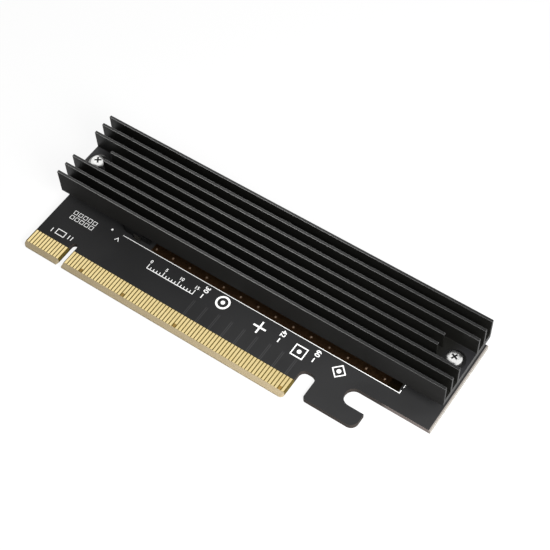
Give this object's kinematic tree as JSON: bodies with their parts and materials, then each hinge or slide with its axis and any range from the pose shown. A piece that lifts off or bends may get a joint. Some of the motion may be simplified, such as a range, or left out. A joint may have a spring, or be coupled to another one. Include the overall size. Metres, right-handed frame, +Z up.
{
  "type": "ssd adapter card",
  "caption": "Flat black adapter card with a keyed gilt contact edge and retention hook, carrying a gumstick drive bay under a long finned black heatsink held by screws.",
  "frame": {"origin": "below the middle of the card's box, on the plane of the solder side that it rests on", "axes": "+X along the contact edge from the first contact to the last, +Y from the contact edge to the rear edge, +Z up from the solder side to the heatsink"},
  "size_m": [0.12, 0.041, 0.0142],
  "materials": {
    "solder_mask": "matte black solder mask on glass laminate",
    "gilt_contact": "bright gold plate",
    "gilt_plane": "gold plate",
    "tinned": "tinned",
    "socket_plastic": "black moulded nylon",
    "black_anodised": "black anodised, satin",
    "bright_nickel": "bright nickel plate",
    "heat_pad": "soft matte"
  },
  "bodies": {
    "root": {"circuit_board": "solder_mask", "edge_contacts_front": "gilt_contact", "edge_contacts_back": "gilt_contact", "ssd_bay_plane": "gilt_plane", "bay_vias": "tinned", "m2_socket_upper_contacts": "gilt_contact", "m2_socket_lower_contacts": "gilt_contact", "m2_socket_housing": "socket_plastic", "m2_socket_lugs": "tinned", "heatsink": "black_anodised", "heatsink_screws": "bright_nickel", "heatsink_standoffs": "bright_nickel", "ssd_post": "bright_nickel", "ssd_screw": "bright_nickel", "thermal_pad": "heat_pad"}
  },
  "joints": []
}
